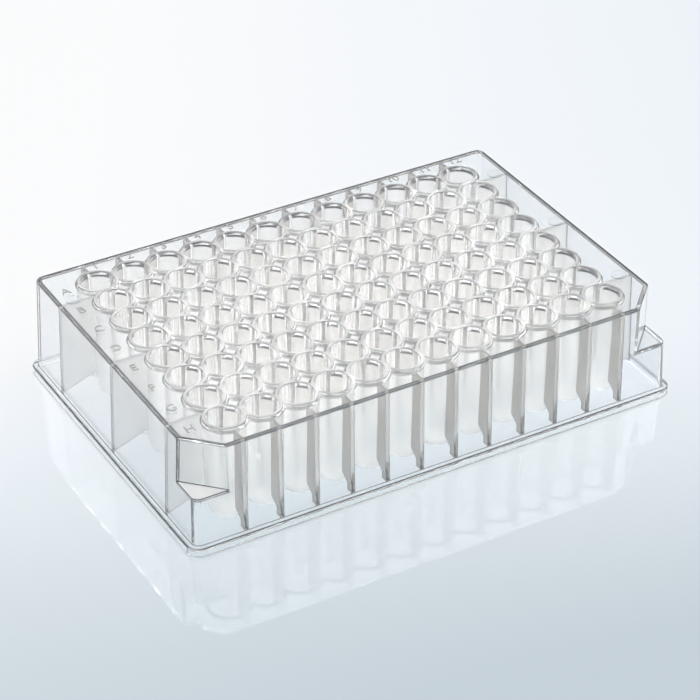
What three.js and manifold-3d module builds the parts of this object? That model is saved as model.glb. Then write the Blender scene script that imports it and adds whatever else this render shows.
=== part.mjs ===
// A 96-position deep-well storage plate, moulded in one shot of clear polypropylene.
// Twelve columns by eight rows of round-bottomed wells hang from a thin deck. A drafted skirt runs round
// them down to a stacking flange, and upright ribs tie the wells to the skirt. Two corners of the deck
// are cut off at 45 degrees, each above a small level ledge, so the plate only fits one way round.
// Millimetres, +Z up. X runs along the columns 1 to 12, Y runs from row H to row A, and the origin is in
// the middle of the footprint, on the surface that the plate stands on.
import * as THREE from 'three';
import { mergeVertices } from 'three/addons/utils/BufferGeometryUtils.js';
import Module from 'manifold-3d';

const wasm = await Module();
wasm.setup();

// ---------------------------------------------------------------------------------------------------
// Driving dimensions
// ---------------------------------------------------------------------------------------------------

// Footprint and height over the rims of the wells.
const PLATE_LENGTH = 127.76;
const PLATE_WIDTH = 85.48;
const PLATE_HEIGHT = 26.6;

// Well pattern: the corner wells' centres, measured in from the ends and the sides of the footprint.
const COLUMNS = 12;
const ROWS = 8;
const FIRST_WELL_FROM_END = 14.38;
const FIRST_WELL_FROM_SIDE = 11.24;

// Wells: the web left between two neighbouring bores at the mouth, the wall of a tube, the narrowing of
// a bore from its mouth to its round bottom (on the radius), and the gap below the tubes.
const WELL_WEB = 0.9;
const TUBE_WALL = 0.95;
const BORE_DRAFT = 0.45;
const TUBE_FOOT_GAP = 0.5;

// Deck, and the low collar that each well raises above it.
const DECK_THICKNESS = 1.0;
const DECK_EDGE_ROUND = 0.45;
const COLLAR_RISE = 0.35;
const COLLAR_WIDTH = 0.85;

// Skirt: its wall, its lean from the flange up to the deck, and its upright corners.
const SKIRT_WALL = 1.0;
const SKIRT_LEAN = 0.72;
const SKIRT_CORNER_RADIUS = 1.9;

// Flange round the foot of the skirt.
const FLANGE_HEIGHT = 2.2;
const FLANGE_STEP = 1.43;
const FLANGE_CORNER_RADIUS = 3.3;

// Cut corners beside H1 and H12: the leg of the cut along each side of the deck, and the ledge below.
const CORNER_CUT_LEG = 7.8;
const LEDGE_HEIGHT = 14.4;

// Ribs. The long sides have one at each column, and the short sides have one below each of three rows.
const RIB_THICKNESS = 0.9;
const RIB_FOOT_HEIGHT = 1.7;
const LONG_RIB_STRIP = 2.0;
const LONG_RIB_STRIP_TOP = 3.6;
const RIB_ROOT_RISE = 0.5;
const SHORT_RIB_ROWS = [1, 4, 7];

// Facets of the round forms, even so that each well keeps flats towards its neighbours.
const WELL_SIDES = 8;
const CORNER_STEPS = 3;

// ---------------------------------------------------------------------------------------------------
// Sizes that follow
// ---------------------------------------------------------------------------------------------------

const PITCH_X = (PLATE_LENGTH - 2 * FIRST_WELL_FROM_END) / (COLUMNS - 1);
const PITCH_Y = (PLATE_WIDTH - 2 * FIRST_WELL_FROM_SIDE) / (ROWS - 1);
const BORE_MOUTH_RADIUS = (Math.min(PITCH_X, PITCH_Y) - WELL_WEB) / 2;
const BORE_FOOT_RADIUS = BORE_MOUTH_RADIUS - BORE_DRAFT;
const TUBE_FOOT_RADIUS = BORE_FOOT_RADIUS + TUBE_WALL;
const TUBE_TOP_RADIUS = BORE_MOUTH_RADIUS + TUBE_WALL;
const ROUND_CENTRE_HEIGHT = TUBE_FOOT_GAP + TUBE_FOOT_RADIUS;

const DECK_TOP = PLATE_HEIGHT - COLLAR_RISE;
const DECK_UNDERSIDE = DECK_TOP - DECK_THICKNESS;
const FOOT_HALF_X = PLATE_LENGTH / 2;
const FOOT_HALF_Y = PLATE_WIDTH / 2;
const FLANGE_UNDERSIDE = FLANGE_HEIGHT - SKIRT_WALL;

// Amounts by which joined forms run into each other, and by which cutters run past what they cut.
const SINK = 0.3;
const CLEAR = 1;

// Distance from the footprint in to the outer face of the skirt, at height z.
function skirtInset(z) {
  return FLANGE_STEP + (SKIRT_LEAN * (z - FLANGE_HEIGHT)) / (DECK_TOP - FLANGE_HEIGHT);
}

// Centre lines of the columns, from 1 to 12, and of the rows, from A to H.
const columnX = Array.from({ length: COLUMNS }, (_, i) => (i - (COLUMNS - 1) / 2) * PITCH_X);
const rowY = Array.from({ length: ROWS }, (_, i) => ((ROWS - 1) / 2 - i) * PITCH_Y);

// ---------------------------------------------------------------------------------------------------
// Building blocks
// ---------------------------------------------------------------------------------------------------

// A three.js geometry as a solid. Repeated corners are merged, and a lathe's collapsed faces are left out.
function solid(geometry) {
  const bare = geometry.index ? geometry.toNonIndexed() : geometry.clone();
  bare.deleteAttribute('normal');
  bare.deleteAttribute('uv');
  const merged = mergeVertices(bare, 1e-4);
  const index = merged.index.array;
  const faces = [];
  for (let i = 0; i < index.length; i += 3) {
    const [a, b, c] = [index[i], index[i + 1], index[i + 2]];
    if (a !== b && b !== c && c !== a) faces.push(a, b, c);
  }
  return new wasm.Manifold(new wasm.Mesh({
    numProp: 3,
    vertProperties: merged.attributes.position.array,
    triVerts: new Uint32Array(faces),
  }));
}

// A rectangle with round corners, given by its half sizes, as an outline of points.
function roundedRectangle(halfX, halfY, radius) {
  const r = Math.max(radius, 0.05);
  const shape = new THREE.Shape();
  shape.absarc(halfX - r, halfY - r, r, 0, Math.PI / 2);
  shape.absarc(-halfX + r, halfY - r, r, Math.PI / 2, Math.PI);
  shape.absarc(-halfX + r, -halfY + r, r, Math.PI, Math.PI * 1.5);
  shape.absarc(halfX - r, -halfY + r, r, Math.PI * 1.5, Math.PI * 2);
  return shape.getPoints(CORNER_STEPS);
}

// A closed loft through level sections, given from the lowest up as { z, outline }.
function loft(sections) {
  const count = sections[0].outline.length;
  const positions = sections.flatMap(({ z, outline }) => outline.flatMap((p) => [p.x, p.y, z]));
  const index = [];
  for (let s = 0; s + 1 < sections.length; s += 1) {
    for (let i = 0; i < count; i += 1) {
      const a = s * count + i;
      const b = s * count + ((i + 1) % count);
      index.push(a, b, b + count, a, b + count, a + count);
    }
  }
  const top = (sections.length - 1) * count;
  for (const [a, b, c] of THREE.ShapeUtils.triangulateShape(sections[0].outline, [])) {
    index.push(a, c, b);
  }
  for (const [a, b, c] of THREE.ShapeUtils.triangulateShape(sections.at(-1).outline, [])) {
    index.push(top + a, top + b, top + c);
  }
  const geometry = new THREE.BufferGeometry();
  geometry.setAttribute('position', new THREE.Float32BufferAttribute(positions, 3));
  geometry.setIndex(index);
  return geometry;
}

// A section of the plate's outline, set in from the footprint.
function section(z, inset, cornerRadius) {
  return { z, outline: roundedRectangle(FOOT_HALF_X - inset, FOOT_HALF_Y - inset, cornerRadius) };
}

// A round-bottomed revolved form, upright on the Z axis, with flats towards its neighbours. Its bottom is
// a half sphere about (0, centreZ), and its wall runs from footRadius up to topRadius at topZ.
function roundBottomed(footRadius, topRadius, centreZ, topZ, sides) {
  const spread = 1 / Math.cos(Math.PI / sides);
  const bottom = [90, 45, 0].map((degrees) => {
    const angle = THREE.MathUtils.degToRad(degrees);
    return new THREE.Vector2(footRadius * spread * Math.cos(angle), centreZ - footRadius * Math.sin(angle));
  });
  bottom[0].x = 0;
  const profile = [...bottom, new THREE.Vector2(topRadius * spread, topZ), new THREE.Vector2(0, topZ)];
  return new THREE.LatheGeometry(profile, sides, Math.PI / sides).rotateX(Math.PI / 2);
}

// A flat web RIB_THICKNESS thick, centred on its own plane. Its outline is given as [distance, z], the
// distance from the middle of the plate, and the web is turned about Z by angle to face its side.
function rib(outline, shift, angle) {
  const shape = new THREE.Shape(outline.map(([distance, z]) => new THREE.Vector2(distance, z)));
  const web = new THREE.ExtrudeGeometry(shape, { depth: RIB_THICKNESS, bevelEnabled: false });
  web.translate(0, 0, -RIB_THICKNESS / 2);
  web.rotateX(Math.PI / 2);
  web.translate(0, shift, 0);
  web.rotateZ(angle);
  return solid(web);
}

// Every well's centre, with a copy of the geometry moved to each.
function patternWells(geometry) {
  return columnX.flatMap((x) => rowY.map((y) => solid(geometry.clone().translate(x, y, 0))));
}

// ---------------------------------------------------------------------------------------------------
// Skirt and deck
// ---------------------------------------------------------------------------------------------------

// The corner cut at row H: what lies beyond a 45 degree plane across the corner at (side, -1), from
// height bottomZ up. setBack moves the plane in towards the wells.
function cornerCut(side, setBack, bottomZ) {
  const cornerX = FOOT_HALF_X - skirtInset(DECK_TOP);
  const cornerY = FOOT_HALF_Y - skirtInset(DECK_TOP);
  const leg = CORNER_CUT_LEG + setBack * Math.SQRT2;
  const reach = FLANGE_STEP + SKIRT_LEAN + CLEAR;
  const triangle = new THREE.Shape([
    new THREE.Vector2(side * (cornerX - leg - reach), -cornerY - reach),
    new THREE.Vector2(side * (cornerX + reach), -cornerY - reach),
    new THREE.Vector2(side * (cornerX + reach), -cornerY + leg + reach),
  ]);
  const prism = new THREE.ExtrudeGeometry(triangle, {
    depth: PLATE_HEIGHT + CLEAR - bottomZ,
    bevelEnabled: false,
  });
  return solid(prism.translate(0, 0, bottomZ));
}

// Outer form: the flange, and the leaning skirt up to the softened edge of the deck.
const flange = solid(loft([
  section(0, 0, FLANGE_CORNER_RADIUS),
  section(FLANGE_HEIGHT, 0, FLANGE_CORNER_RADIUS),
]));
const block = solid(loft([
  section(FLANGE_UNDERSIDE, skirtInset(FLANGE_UNDERSIDE), SKIRT_CORNER_RADIUS),
  section(DECK_TOP - DECK_EDGE_ROUND, skirtInset(DECK_TOP - DECK_EDGE_ROUND), SKIRT_CORNER_RADIUS),
  section(DECK_TOP, skirtInset(DECK_TOP) + DECK_EDGE_ROUND, SKIRT_CORNER_RADIUS - DECK_EDGE_ROUND),
]));
const outside = flange
  .add(block)
  .subtract(cornerCut(-1, 0, LEDGE_HEIGHT))
  .subtract(cornerCut(1, 0, LEDGE_HEIGHT));

// Hollow below the deck: it follows the outer form, one wall in, ledges and cut corners included.
const insideRadius = SKIRT_CORNER_RADIUS - SKIRT_WALL;
const underFlange = solid(loft([
  section(-CLEAR, SKIRT_WALL, FLANGE_CORNER_RADIUS - SKIRT_WALL),
  section(FLANGE_UNDERSIDE, SKIRT_WALL, FLANGE_CORNER_RADIUS - SKIRT_WALL),
]));
const underDeck = solid(loft([
  section(0, skirtInset(0) + SKIRT_WALL, insideRadius),
  section(DECK_UNDERSIDE, skirtInset(DECK_UNDERSIDE) + SKIRT_WALL, insideRadius),
]));
const hollow = underFlange
  .add(underDeck
    .subtract(cornerCut(-1, SKIRT_WALL, LEDGE_HEIGHT - DECK_THICKNESS))
    .subtract(cornerCut(1, SKIRT_WALL, LEDGE_HEIGHT - DECK_THICKNESS)));
const shell = outside.subtract(hollow);

// ---------------------------------------------------------------------------------------------------
// Wells
// ---------------------------------------------------------------------------------------------------

// The tubes run from their round bottoms into the deck. Towards their neighbours they share a wall.
const tube = roundBottomed(
  TUBE_FOOT_RADIUS,
  TUBE_TOP_RADIUS,
  ROUND_CENTRE_HEIGHT,
  DECK_UNDERSIDE + SINK,
  WELL_SIDES,
);

// Collar: a flat-topped ring on the deck, wide enough to run into the collars beside it.
const collarRadius = (BORE_MOUTH_RADIUS + COLLAR_WIDTH) / Math.cos(Math.PI / WELL_SIDES);
const collar = new THREE.LatheGeometry([
  new THREE.Vector2(0, DECK_TOP - SINK),
  new THREE.Vector2(collarRadius, DECK_TOP - SINK),
  new THREE.Vector2(collarRadius, PLATE_HEIGHT),
  new THREE.Vector2(0, PLATE_HEIGHT),
], WELL_SIDES, Math.PI / WELL_SIDES).rotateX(Math.PI / 2);

// Bore: the same form one wall inside the tube. Its draft is carried on past the rim.
const boreClimb = (PLATE_HEIGHT + CLEAR - ROUND_CENTRE_HEIGHT) / (PLATE_HEIGHT - ROUND_CENTRE_HEIGHT);
const bore = roundBottomed(
  BORE_FOOT_RADIUS,
  BORE_FOOT_RADIUS + BORE_DRAFT * boreClimb,
  ROUND_CENTRE_HEIGHT,
  PLATE_HEIGHT + CLEAR,
  WELL_SIDES,
);

// ---------------------------------------------------------------------------------------------------
// Ribs
// ---------------------------------------------------------------------------------------------------

const ribTop = DECK_UNDERSIDE + SINK;
const rootHeight = ROUND_CENTRE_HEIGHT + RIB_ROOT_RISE;

// Long sides: deep between the skirt and the tube, then tapered at the foot of the tube to a narrow
// strip that runs down the skirt.
function longSideRib(halfSize, wellCentre) {
  const wallMiddle = (z) => halfSize - skirtInset(z) - SKIRT_WALL / 2;
  const wallFace = halfSize - skirtInset(RIB_FOOT_HEIGHT) - SKIRT_WALL;
  const root = wellCentre + TUBE_FOOT_RADIUS - TUBE_WALL / 2;
  const strip = Math.min(LONG_RIB_STRIP, (wallFace - root) / 2);
  return [
    [wallMiddle(RIB_FOOT_HEIGHT), RIB_FOOT_HEIGHT],
    [wallMiddle(ribTop), ribTop],
    [root, ribTop],
    [root, rootHeight],
    [wallFace - strip, LONG_RIB_STRIP_TOP],
    [wallFace - strip, RIB_FOOT_HEIGHT],
  ];
}

// Short sides: full depth from the skirt to the web between two rows of tubes, with a foot that climbs
// from the flange to the tubes.
function shortSideRib(halfSize, wellCentre) {
  const wallMiddle = (z) => halfSize - skirtInset(z) - SKIRT_WALL / 2;
  const valley = wellCentre + BORE_MOUTH_RADIUS / 2;
  return [
    [wallMiddle(RIB_FOOT_HEIGHT), RIB_FOOT_HEIGHT],
    [wallMiddle(ribTop), ribTop],
    [wellCentre, ribTop],
    [wellCentre, rootHeight],
    [valley, rootHeight],
  ];
}

const longOutline = longSideRib(FOOT_HALF_Y, rowY[0]);
const shortOutline = shortSideRib(FOOT_HALF_X, columnX.at(-1));
const shortRibY = SHORT_RIB_ROWS.map((row) => (ROWS / 2 - row) * PITCH_Y);
const ribs = [
  ...columnX.map((x) => rib(longOutline, -x, Math.PI / 2)),
  ...columnX.map((x) => rib(longOutline, x, -Math.PI / 2)),
  ...shortRibY.map((y) => rib(shortOutline, y, 0)),
  ...shortRibY.map((y) => rib(shortOutline, -y, Math.PI)),
];

// ---------------------------------------------------------------------------------------------------
// The plate
// ---------------------------------------------------------------------------------------------------

// Once all is joined, faces of neighbouring forms that lie in one plane are merged into one face.
const joined = wasm.Manifold
  .union([shell, ...patternWells(tube), ...patternWells(collar), ...ribs])
  .asOriginal()
  .simplify();
const moulding = joined.subtract(wasm.Manifold.union(patternWells(bore)));

// A solid's surface as a three.js geometry with flat faces.
function surface(manifold) {
  const mesh = manifold.getMesh();
  const indexed = new THREE.BufferGeometry();
  indexed.setAttribute('position', new THREE.BufferAttribute(mesh.vertProperties, 3));
  indexed.setIndex(new THREE.BufferAttribute(mesh.triVerts, 1));
  const flat = indexed.toNonIndexed();
  flat.computeVertexNormals();
  return flat;
}

const clearPolypropylene = new THREE.MeshStandardMaterial({
  color: 0xdfe4e8,
  roughness: 0.22,
  metalness: 0,
});

const wellPlate = new THREE.Mesh(surface(moulding), clearPolypropylene);
wellPlate.name = 'well_plate';

const root = new THREE.Group();
root.name = 'deep_well_plate';
root.add(wellPlate);

export default root;
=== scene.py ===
"""A 96-position deep-well storage plate of clear polypropylene, dressed for a studio view.

The plate is one moulding. Its visible body is joined from solids of its own: the leaning skirt with its
flange and deck, the upright ribs, and the round-bottomed wells, whose bores are cut last. Every solid is
a surface worked out on a grid of two parameters. Sizes are in millimetres, with +X along the columns 1 to
12, +Y from row H to row A and +Z up, and they become metres where a mesh is made.
"""

import logging
import math
from dataclasses import dataclass
from enum import Enum
from typing import Any

import bpy
import numpy as np
from mathutils import Matrix, Vector

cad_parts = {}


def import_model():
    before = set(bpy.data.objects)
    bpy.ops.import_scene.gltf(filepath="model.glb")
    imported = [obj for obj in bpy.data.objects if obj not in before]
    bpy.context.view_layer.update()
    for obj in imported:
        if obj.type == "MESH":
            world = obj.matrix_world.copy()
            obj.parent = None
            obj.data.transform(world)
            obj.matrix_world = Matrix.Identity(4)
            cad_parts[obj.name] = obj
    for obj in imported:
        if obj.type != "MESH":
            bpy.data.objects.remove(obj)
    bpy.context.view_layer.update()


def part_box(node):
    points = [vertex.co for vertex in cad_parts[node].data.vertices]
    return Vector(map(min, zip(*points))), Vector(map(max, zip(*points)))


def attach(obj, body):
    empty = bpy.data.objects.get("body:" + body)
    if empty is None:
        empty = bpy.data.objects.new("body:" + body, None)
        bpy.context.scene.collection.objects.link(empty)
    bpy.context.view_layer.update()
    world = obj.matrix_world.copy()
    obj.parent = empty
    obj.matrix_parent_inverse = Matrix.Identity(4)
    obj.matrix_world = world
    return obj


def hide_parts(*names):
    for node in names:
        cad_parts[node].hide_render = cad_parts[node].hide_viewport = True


MM = 0.001
PLATE_NODE = "well_plate"
PLATE_BODY = "root"

# Angles in degrees from which an edge is rounded off, and from which it's shaded as a sharp one.
BEVEL_ANGLE = 30.0
SHARP_ANGLE = 32.0

# Turns after which a light path ends: of any kind, and led along between the faces of a wall.
LAST_TURN = 12
LAST_GLOSSY_TURN = 4

log = logging.getLogger("well_plate")


class Region(Enum):
    """The finishes of the moulding, in the order of its material slots."""

    CLEAR_WALL = 0
    MILKY_WELL = 1
    FROSTED_RIB = 2
    # Dark finish of painted edge shade on roundings, roots, fillets, letter sides and pad edges.
    ROUNDED_EDGE = 3
    POLISHED_BORE = 4
    # Lighter finish with a painted glow, on the feet of row H.
    BRIGHT_FACE = 5
    RIM_SHADE = 6
    # Grey finish of painted shade, on the long ribs and the letter tops.
    SMOKY_RIB = 7
    # Darker tint of painted shade, on the two end walls.
    HAZY_WALL = 8


# ---------------------------------------------------------------------------------------------------
# Sizes
# ---------------------------------------------------------------------------------------------------


@dataclass(frozen=True)
class PlateSizes:
    """Driving sizes of the plate in millimetres. The footprint and the height come from the frame."""

    length: float
    width: float
    height: float
    columns: int = 12
    rows: int = 8
    pitch: float = 9.0
    well_web: float = 0.9
    tube_wall: float = 0.95
    bore_draft: float = 0.45
    tube_foot_gap: float = 0.5
    deck_thickness: float = 1.0
    collar_rise: float = 0.35
    collar_width: float = 0.85
    skirt_wall: float = 1.0
    skirt_lean: float = 0.72
    skirt_corner: float = 1.9
    flange_height: float = 2.2
    flange_step: float = 1.43
    flange_corner: float = 3.3
    corner_cut: float = 7.8
    ledge_height: float = 14.4

    @classmethod
    def from_frame(cls, node: str) -> "PlateSizes":
        """Read the footprint and the height from a CAD node.

        Args:
            node: Name of the CAD node that holds the whole moulding.

        Returns:
            The sizes of the plate.
        """
        low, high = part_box(node)
        span = (np.array(high) - np.array(low)) / MM
        return cls(length=float(span[0]), width=float(span[1]), height=float(span[2]))

    @property
    def deck_top(self) -> float:
        """Height of the deck between the collars."""
        return self.height - self.collar_rise

    @property
    def deck_underside(self) -> float:
        """Height of the deck's lower face."""
        return self.deck_top - self.deck_thickness

    @property
    def flange_underside(self) -> float:
        """Height of the flange's lower face, inside the skirt."""
        return self.flange_height - self.skirt_wall

    @property
    def mouth_radius(self) -> float:
        """Radius of a bore at its mouth."""
        return (self.pitch - self.well_web) / 2

    @property
    def foot_radius(self) -> float:
        """Radius of a bore at its round bottom."""
        return self.mouth_radius - self.bore_draft

    @property
    def tube_foot_radius(self) -> float:
        """Outer radius of a tube at its round bottom."""
        return self.foot_radius + self.tube_wall

    @property
    def round_centre(self) -> float:
        """Height of the centre of the round bottoms."""
        return self.tube_foot_gap + self.tube_foot_radius

    @property
    def column_x(self) -> np.ndarray:
        """Centre lines of the columns, from 1 to 12."""
        return (np.arange(self.columns) - (self.columns - 1) / 2) * self.pitch

    @property
    def row_y(self) -> np.ndarray:
        """Centre lines of the rows, from A to H."""
        return ((self.rows - 1) / 2 - np.arange(self.rows)) * self.pitch

    def skirt_inset(self, z: np.ndarray | float) -> np.ndarray | float:
        """Distance from the footprint in to the skirt's outer face at height z: it grows evenly with z."""
        climb = (z - self.flange_height) / (self.deck_top - self.flange_height)
        return self.flange_step + self.skirt_lean * climb


# ---------------------------------------------------------------------------------------------------
# Surfaces
# ---------------------------------------------------------------------------------------------------


@dataclass
class Surface:
    """One or more closed solids in millimetres.

    The faces are listed one after another: corners holds the numbers of their points, sides how many
    corners each face has, and regions the finish of each.
    """

    points: np.ndarray
    corners: np.ndarray
    sides: np.ndarray
    regions: np.ndarray

    @classmethod
    def from_rings(
        cls,
        rings: np.ndarray,
        bands: list[Region],
        top: Region,
        bottom: Region | None = None,
        start_pole: bool = False,
    ) -> "Surface":
        """Skin a stack of closed rings and close both ends.

        Corner (i, j) of the grid is point j of ring i. Rings run counter-clockwise seen from above and
        are stacked upwards, so that every face points outwards.

        Args:
            rings: Array of shape (ring, point, 3).
            bands: Finish of each band of faces between two rings, from the lowest. A single one is
                the finish of all bands.
            top: Finish of the face that closes the upper end.
            bottom: Finish of the lower end, if it isn't the lowest band's.
            start_pole: True if the first ring is a single place, which then becomes one corner.

        Returns:
            The closed surface.
        """
        count, around = rings.shape[:2]
        finish = np.array([region.value for region in bands])
        finish = np.broadcast_to(finish, (count - 1,)) if len(finish) == 1 else finish
        first = 1 if start_pole else 0
        points = rings[first:].reshape(-1, 3)
        level, step = np.meshgrid(np.arange(count - 1 - first), np.arange(around), indexing="ij")
        here = level * around + step
        beside = level * around + (step + 1) % around
        quads = np.stack([here, beside, beside + around, here + around], axis=-1)
        spokes = np.arange(around)
        if start_pole:
            pole = np.full(around, len(points))
            points = np.vstack([points, rings[0, :1]])
            end = np.stack([pole, (spokes + 1) % around, spokes], axis=-1).ravel()
            end_sides = [3] * around
        else:
            end = spokes[::-1]
            end_sides = [around]
        corners = np.concatenate([quads.ravel(), here.size + spokes, end])
        sides = np.array([4] * here.size + [around] + end_sides)
        ends = np.full(len(sides) - here.size, finish[0] if bottom is None else bottom.value)
        ends[0] = top.value
        return cls(points, corners, sides, np.concatenate([np.repeat(finish[first:], around), ends]))

    @classmethod
    def merged(cls, parts: list["Surface"]) -> "Surface":
        """Put several surfaces beside each other, as one set of points and faces.

        Args:
            parts: The surfaces.

        Returns:
            One surface that holds them all, in their order.
        """
        counts = np.array([len(part.points) for part in parts])
        starts = np.cumsum(counts) - counts
        corners = [part.corners + start for part, start in zip(parts, starts)]
        points = np.vstack([part.points for part in parts])
        sides = np.concatenate([part.sides for part in parts])
        return cls(points, np.concatenate(corners), sides, np.concatenate([part.regions for part in parts]))

    def copies(self, places: np.ndarray) -> "Surface":
        """Repeat the surface at each place.

        Args:
            places: Array of shape (copy, 3) with the shift of each copy.

        Returns:
            One surface that holds all the copies.
        """
        count = len(places)
        points = (places[:, None, :] + self.points[None, :, :]).reshape(-1, 3)
        starts = np.arange(count)[:, None] * len(self.points)
        corners = (starts + self.corners).ravel()
        return Surface(points, corners, np.tile(self.sides, count), np.tile(self.regions, count))

    def as_object(self, name: str) -> bpy.types.Object:
        """Make a Blender object of the surface, in metres.

        Args:
            name: Name of the object.

        Returns:
            The object, linked to the scene, with an empty material slot for each finish.
        """
        mesh = bpy.data.meshes.new(name)
        mesh.vertices.add(len(self.points))
        mesh.vertices.foreach_set("co", (self.points * MM).ravel())
        mesh.loops.add(len(self.corners))
        mesh.loops.foreach_set("vertex_index", self.corners)
        mesh.polygons.add(len(self.sides))
        mesh.polygons.foreach_set("loop_start", np.cumsum(self.sides) - self.sides)
        for _ in Region:
            mesh.materials.append(None)
        mesh.polygons.foreach_set("material_index", self.regions)
        mesh.update(calc_edges=True)
        mesh.shade_flat()
        made = bpy.data.objects.new(name, mesh)
        bpy.context.scene.collection.objects.link(made)
        return made


def rounded_outline(
    normals: np.ndarray, distances: np.ndarray, radii: np.ndarray, steps: int
) -> np.ndarray:
    """Outline of a convex polygon with round corners.

    Edge i lies at distances[i] from the middle, square to the direction normals[i] in degrees. Corner i
    joins edge i to the next: its arc is centred where both edges, moved in by the radius, meet, and it
    turns evenly from the one direction to the other.

    Args:
        normals: Directions of the edges in degrees, increasing.
        distances: Distance of each edge from the middle.
        radii: Radius of each corner.
        steps: Number of steps in each arc.

    Returns:
        Array of shape (point, 2), counter-clockwise.
    """
    turn = np.radians(normals)
    turn_next = np.roll(turn, -1)
    turn_next[-1] += 2 * math.pi
    reach = distances - radii
    reach_next = np.roll(distances, -1) - radii
    spread = np.sin(turn_next - turn)
    centre_x = (reach * np.sin(turn_next) - reach_next * np.sin(turn)) / spread
    centre_y = (reach_next * np.cos(turn) - reach * np.cos(turn_next)) / spread
    share = np.linspace(0, 1, steps + 1)
    angle = turn[:, None] + (turn_next - turn)[:, None] * share
    x = centre_x[:, None] + radii[:, None] * np.cos(angle)
    y = centre_y[:, None] + radii[:, None] * np.sin(angle)
    return np.stack([x, y], axis=-1).reshape(-1, 2)


def quarter(steps: int, start: float, end: float) -> tuple[np.ndarray, np.ndarray]:
    """Cosines and sines of evenly spaced angles from start to end, in degrees."""
    angle = np.radians(np.linspace(start, end, steps + 1))
    return np.cos(angle), np.sin(angle)


def revolved(profile: np.ndarray, bands: list[Region], top: Region, sides: int) -> Surface:
    """Turn a profile about the Z axis.

    A point of the surface is (r cos a, r sin a, z) for each profile point (r, z) and each angle a. The
    profile starts on the axis, at the bottom, and its last point is closed by a flat face.

    Args:
        profile: Array of shape (point, 2), as radius and height.
        bands: Finish of each stretch of the profile, from the lowest.
        top: Finish of the flat face.
        sides: Number of steps round the axis.

    Returns:
        The closed surface.
    """
    angle = np.arange(sides) * 2 * math.pi / sides
    radius = profile[:, :1]
    height = np.broadcast_to(profile[:, 1:], (len(profile), sides))
    rings = np.stack([radius * np.cos(angle), radius * np.sin(angle), height], axis=-1)
    return Surface.from_rings(rings, bands, top, start_pole=True)


def prism(outline: np.ndarray, low: float, high: float, bottom: Region = Region.CLEAR_WALL) -> Surface:
    """Carry a counter-clockwise outline straight up from height low to height high.

    Args:
        outline: Array of shape (point, 2).
        low: Height of the lower face.
        high: Height of the upper face.
        bottom: Finish of the lower face. All the other faces are clear walls.

    Returns:
        The closed surface.
    """
    levels = np.array([low, high])
    flat = np.broadcast_to(outline, (2, *outline.shape))
    height = np.broadcast_to(levels[:, None, None], (2, len(outline), 1))
    rings = np.concatenate([flat, height], axis=-1)
    return Surface.from_rings(rings, [Region.CLEAR_WALL], Region.CLEAR_WALL, bottom)


class Join(Enum):
    """Ways to combine two solids."""

    UNION = "UNION"
    CUT = "DIFFERENCE"


def read(items: Any, name: str, width: int = 1, kind: type = float) -> np.ndarray:
    """Read one property of all the vertices, loops or faces of a mesh.

    Args:
        items: The mesh's list of them.
        name: Name of the property.
        width: Number of values that each of them has.
        kind: Type of the values.

    Returns:
        Array of the values, with a row for each item where it has several.
    """
    flat = np.empty(len(items) * width, dtype=kind)
    items.foreach_get(name, flat)
    return flat if width == 1 else flat.reshape(-1, width)


def evaluated_mesh(piece: bpy.types.Object) -> bpy.types.Mesh:
    """Make a new mesh of an object as its modifiers or its text settings shape it.

    Args:
        piece: Object of the scene.

    Returns:
        The mesh.
    """
    bpy.context.view_layer.update()
    graph = bpy.context.evaluated_depsgraph_get()
    return bpy.data.meshes.new_from_object(piece.evaluated_get(graph), depsgraph=graph)


def settle(piece: bpy.types.Object) -> None:
    """Turn a piece's modifiers into its own mesh.

    Args:
        piece: Object that is changed.
    """
    before = piece.data
    piece.data = evaluated_mesh(piece)
    piece.modifiers.clear()
    bpy.data.meshes.remove(before)


def combine(body: bpy.types.Object, tool: bpy.types.Object, how: Join) -> None:
    """Join a tool solid to a body, or cut it out, and remove the tool.

    Args:
        body: Solid that is changed.
        tool: Solid that is added or cut away.
        how: Kind of join.
    """
    step = body.modifiers.new(how.name.lower(), "BOOLEAN")
    step.operation = how.value
    step.solver = "MANIFOLD"
    step.object = tool
    settle(body)
    bpy.data.objects.remove(tool)


def soften(piece: bpy.types.Object, width: float, steps: int) -> None:
    """Round off every edge that turns by more than the bevel angle.

    Args:
        piece: Solid that is changed.
        width: Width of the rounding in millimetres.
        steps: Number of steps across it.
    """
    bevel = piece.modifiers.new("soft_edges", "BEVEL")
    bevel.width = width * MM
    bevel.segments = steps
    bevel.limit_method = "ANGLE"
    bevel.angle_limit = math.radians(BEVEL_ANGLE)
    bevel.use_clamp_overlap = True
    # The roundings take the dark finish of painted edge shade.
    bevel.material = Region.ROUNDED_EDGE.value
    settle(piece)


def shade_smoothly(piece: bpy.types.Object) -> None:
    """Shade curves smoothly and flat faces flat: each normal leans on the largest face beside it.

    Args:
        piece: Object that is changed.
    """
    piece.data.polygons.foreach_set("use_smooth", np.ones(len(piece.data.polygons), bool))
    piece.data.set_sharp_from_angle(angle=math.radians(SHARP_ANGLE))
    weigh = piece.modifiers.new("weigh_normals", "WEIGHTED_NORMAL")
    weigh.mode = "FACE_AREA"
    weigh.weight = 100
    weigh.keep_sharp = True
    settle(piece)


@dataclass
class Part:
    """What the sub-assemblies share: the plate's sizes, and the way in which a piece is dressed."""

    sizes: PlateSizes

    def dress(self, piece: bpy.types.Object, finishes: list[bpy.types.Material]) -> None:
        """Fill the material slots that a piece's faces name, and shade it.

        Args:
            piece: Finished piece.
            finishes: Material of each region, in the order of the regions.
        """
        for slot, finish in enumerate(finishes):
            piece.data.materials[slot] = finish
        shade_smoothly(piece)


# ---------------------------------------------------------------------------------------------------
# Sub-assemblies of the moulding
# ---------------------------------------------------------------------------------------------------


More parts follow.
